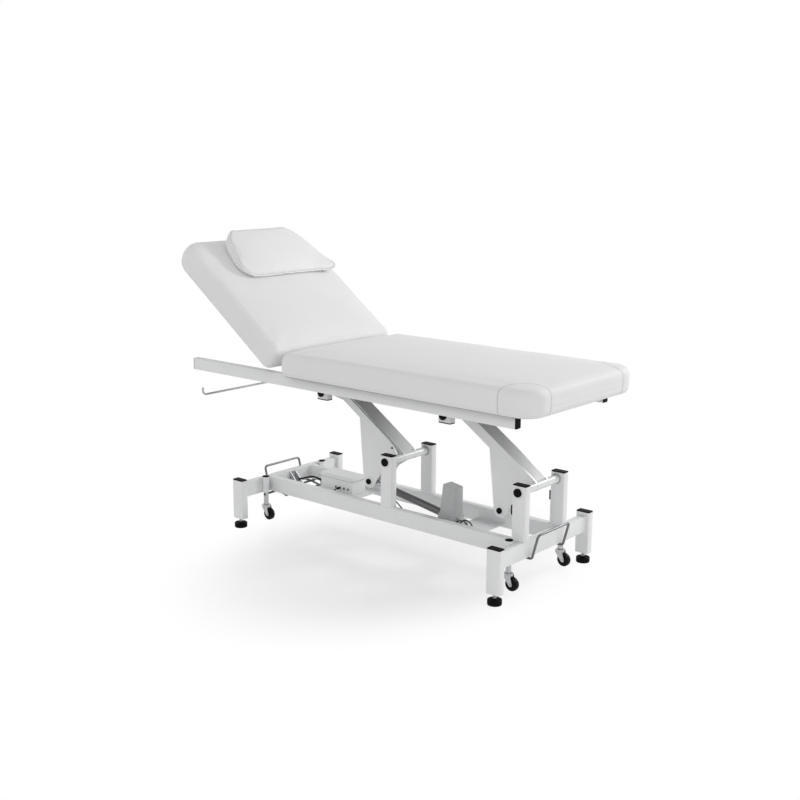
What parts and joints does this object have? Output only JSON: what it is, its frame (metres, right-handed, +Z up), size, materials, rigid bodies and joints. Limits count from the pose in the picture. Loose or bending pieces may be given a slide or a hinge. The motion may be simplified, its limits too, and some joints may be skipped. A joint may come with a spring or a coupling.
{
  "type": "massage table",
  "caption": "Electric massage table: padded bed with a hinged backrest and pillow on a parallelogram lift driven by a linear actuator, with pedal-lowered casters.",
  "frame": {"origin": "on the floor, under the middle of the table's length and width", "axes": "+X to the foot end of the bed, +Y to the far side of the picture, +Z up"},
  "size_m": [1.7508, 0.676, 1.1749],
  "materials": {
    "white_powder_coat": "satin white powder coat on steel tube",
    "leatherette": "matt white leatherette over foam on a board",
    "black_plastic": "moulded black plastic",
    "light_plastic": "pale moulded plastic",
    "grey_plastic": "grey moulded plastic",
    "dark_steel": "dark painted steel",
    "zinc": "bright zinc plating",
    "grey_rod": "grey painted steel rod",
    "wheel_plastic": "black moulded wheel"
  },
  "bodies": {
    "base": {"head_beam": "white_powder_coat", "foot_beam": "white_powder_coat", "near_rail": "white_powder_coat", "far_rail": "white_powder_coat", "head_near_leg": "white_powder_coat", "head_near_leg_cap": "black_plastic", "head_near_post": "white_powder_coat", "head_near_post_cap": "black_plastic", "head_far_leg": "white_powder_coat", "head_far_leg_cap": "black_plastic", "head_far_post": "white_powder_coat", "head_far_post_cap": "black_plastic", "foot_near_leg": "white_powder_coat", "foot_near_leg_cap": "black_plastic", "foot_near_post": "white_powder_coat", "foot_near_post_cap": "black_plastic", "foot_far_leg": "white_powder_coat", "foot_far_leg_cap": "black_plastic", "foot_far_post": "white_powder_coat", "foot_far_post_cap": "black_plastic", "box_shelf": "white_powder_coat", "control_box": "light_plastic", "actuator_plate": "white_powder_coat", "arm_1_pivot_shaft": "black_plastic", "arm_2_pivot_shaft": "black_plastic"},
    "lift_arm_1": {"lift_arm_1": "white_powder_coat"},
    "lift_arm_2": {"lift_arm_2": "white_powder_coat"},
    "top_frame": {"near_side_tube": "white_powder_coat", "far_side_tube": "white_powder_coat", "head_cross_member": "white_powder_coat", "foot_cross_member": "white_powder_coat", "hinge_tube": "white_powder_coat", "paper_roll_rod": "grey_rod", "seat_cushion": "leatherette"},
    "backrest": {"backrest_frame": "white_powder_coat", "backrest_cushion": "leatherette", "head_pillow": "leatherette"},
    "stay_sleeve": {"stay_sleeve": "dark_steel"},
    "stay_bar": {"stay_bar": "zinc"},
    "actuator": {"actuator_motor": "grey_plastic", "actuator_tube": "dark_steel"},
    "actuator_rod": {"actuator_rod": "zinc"},
    "head_pedal": {"head_pedal": "grey_rod"},
    "foot_pedal": {"foot_pedal": "grey_rod"},
    "head_near_levelling_foot": {"head_near_levelling_foot": "black_plastic"},
    "head_near_caster_stem": {"head_near_caster_stem": "zinc"},
    "head_near_caster_fork": {"head_near_caster_fork": "zinc"},
    "head_near_caster_wheel": {"head_near_caster_wheel": "wheel_plastic"},
    "head_far_levelling_foot": {"head_far_levelling_foot": "black_plastic"},
    "head_far_caster_stem": {"head_far_caster_stem": "zinc"},
    "head_far_caster_fork": {"head_far_caster_fork": "zinc"},
    "head_far_caster_wheel": {"head_far_caster_wheel": "wheel_plastic"},
    "foot_near_levelling_foot": {"foot_near_levelling_foot": "black_plastic"},
    "foot_near_caster_stem": {"foot_near_caster_stem": "zinc"},
    "foot_near_caster_fork": {"foot_near_caster_fork": "zinc"},
    "foot_near_caster_wheel": {"foot_near_caster_wheel": "wheel_plastic"},
    "foot_far_levelling_foot": {"foot_far_levelling_foot": "black_plastic"},
    "foot_far_caster_stem": {"foot_far_caster_stem": "zinc"},
    "foot_far_caster_fork": {"foot_far_caster_fork": "zinc"},
    "foot_far_caster_wheel": {"foot_far_caster_wheel": "wheel_plastic"}
  },
  "joints": [
    {"name": "lift", "type": "hinge", "parent": "base", "child": "lift_arm_1", "pos_m": [0.08925, 0, 0.3555], "axis": [0, 1, 0], "range_deg": [-27, 25]},
    {"name": "lift_arm_2_turn", "type": "hinge", "parent": "base", "child": "lift_arm_2", "pos_m": [0.6909, 0, 0.3555], "axis": [0, 1, 0], "range_deg": [-27.5, 25.5]},
    {"name": "top_frame_turn", "type": "hinge", "parent": "lift_arm_1", "child": "top_frame", "pos_m": [-0.23925, 0, 0.5755], "axis": [0, 1, 0], "range_deg": [-25.5, 27.5]},
    {"name": "actuator_turn", "type": "hinge", "parent": "base", "child": "actuator", "pos_m": [0.39335, -0.047, 0.165], "axis": [0, 1, 0], "range_deg": [-7.67, 7.14]},
    {"name": "actuator_stroke", "type": "slide", "parent": "actuator", "child": "actuator_rod", "axis": [-0.9864, 0, 0.1645], "range_m": [-0.06622, 0.06139]},
    {"name": "backrest_turn", "type": "hinge", "parent": "top_frame", "child": "backrest", "pos_m": [-0.32465, 0, 0.65], "axis": [0, 1, 0], "range_deg": [-36.3, 8]},
    {"name": "stay_turn", "type": "hinge", "parent": "top_frame", "child": "stay_sleeve", "pos_m": [-0.34465, 0, 0.59], "axis": [0, 1, 0], "range_deg": [-34.12, 7.91]},
    {"name": "stay_slide", "type": "slide", "parent": "stay_sleeve", "child": "stay_bar", "axis": [-0.6969, 0, 0.7172], "range_m": [-0.03914, 0.00941]},
    {"name": "head_pedal_press", "type": "hinge", "parent": "base", "child": "head_pedal", "pos_m": [-0.47975, 0, 0.107], "axis": [0, -1, 0], "range_deg": [0, 24]},
    {"name": "head_near_stem_slide", "type": "slide", "parent": "base", "child": "head_near_caster_stem", "axis": [0, 0, -1], "range_m": [0, 0.0217]},
    {"name": "head_near_caster_swivel", "type": "hinge", "parent": "head_near_caster_stem", "child": "head_near_caster_fork", "pos_m": [-0.52975, -0.1644, 0.0742], "axis": [0, 0, 1], "continuous": true},
    {"name": "head_near_wheel_spin", "type": "hinge", "parent": "head_near_caster_fork", "child": "head_near_caster_wheel", "pos_m": [-0.51275, -0.1644, 0.037], "axis": [0, 1, 0], "continuous": true},
    {"name": "head_near_foot_turn", "type": "hinge", "parent": "base", "child": "head_near_levelling_foot", "pos_m": [-0.55695, -0.2805, 0.038], "axis": [0, 0, 1], "continuous": true},
    {"name": "head_far_stem_slide", "type": "slide", "parent": "base", "child": "head_far_caster_stem", "axis": [0, 0, -1], "range_m": [0, 0.0217]},
    {"name": "head_far_caster_swivel", "type": "hinge", "parent": "head_far_caster_stem", "child": "head_far_caster_fork", "pos_m": [-0.52975, 0.1644, 0.0742], "axis": [0, 0, 1], "continuous": true},
    {"name": "head_far_wheel_spin", "type": "hinge", "parent": "head_far_caster_fork", "child": "head_far_caster_wheel", "pos_m": [-0.51275, 0.1644, 0.037], "axis": [0, 1, 0], "continuous": true},
    {"name": "head_far_foot_turn", "type": "hinge", "parent": "base", "child": "head_far_levelling_foot", "pos_m": [-0.55695, 0.2805, 0.038], "axis": [0, 0, 1], "continuous": true},
    {"name": "foot_pedal_press", "type": "hinge", "parent": "base", "child": "foot_pedal", "pos_m": [0.63045, 0, 0.107], "axis": [0, 1, 0], "range_deg": [0, 24]},
    {"name": "foot_near_stem_slide", "type": "slide", "parent": "base", "child": "foot_near_caster_stem", "axis": [0, 0, -1], "range_m": [0, 0.0217]},
    {"name": "foot_near_caster_swivel", "type": "hinge", "parent": "foot_near_caster_stem", "child": "foot_near_caster_fork", "pos_m": [0.68045, -0.1644, 0.0742], "axis": [0, 0, 1], "continuous": true},
    {"name": "foot_near_wheel_spin", "type": "hinge", "parent": "foot_near_caster_fork", "child": "foot_near_caster_wheel", "pos_m": [0.69745, -0.1644, 0.037], "axis": [0, 1, 0], "continuous": true},
    {"name": "foot_near_foot_turn", "type": "hinge", "parent": "base", "child": "foot_near_levelling_foot", "pos_m": [0.70765, -0.2805, 0.038], "axis": [0, 0, 1], "continuous": true},
    {"name": "foot_far_stem_slide", "type": "slide", "parent": "base", "child": "foot_far_caster_stem", "axis": [0, 0, -1], "range_m": [0, 0.0217]},
    {"name": "foot_far_caster_swivel", "type": "hinge", "parent": "foot_far_caster_stem", "child": "foot_far_caster_fork", "pos_m": [0.68045, 0.1644, 0.0742], "axis": [0, 0, 1], "continuous": true},
    {"name": "foot_far_wheel_spin", "type": "hinge", "parent": "foot_far_caster_fork", "child": "foot_far_caster_wheel", "pos_m": [0.69745, 0.1644, 0.037], "axis": [0, 1, 0], "continuous": true},
    {"name": "foot_far_foot_turn", "type": "hinge", "parent": "base", "child": "foot_far_levelling_foot", "pos_m": [0.70765, 0.2805, 0.038], "axis": [0, 0, 1], "continuous": true}
  ],
  "couplings": [
    {"joint": "lift_arm_2_turn", "follows": "lift", "ratio": 1},
    {"joint": "top_frame_turn", "follows": "lift", "ratio": -1},
    {"joint": "actuator_turn", "follows": "lift", "ratio": 0.2656},
    {"joint": "actuator_stroke", "follows": "lift", "m_per_rad": 0.1384},
    {"joint": "stay_turn", "follows": "backrest_turn", "ratio": 0.9261},
    {"joint": "stay_slide", "follows": "backrest_turn", "m_per_rad": 0.0602},
    {"joint": "head_near_stem_slide", "follows": "head_pedal_press", "m_per_rad": 0.0507},
    {"joint": "head_far_stem_slide", "follows": "head_pedal_press", "m_per_rad": 0.0507},
    {"joint": "foot_near_stem_slide", "follows": "foot_pedal_press", "m_per_rad": 0.0507},
    {"joint": "foot_far_stem_slide", "follows": "foot_pedal_press", "m_per_rad": 0.0507}
  ]
}
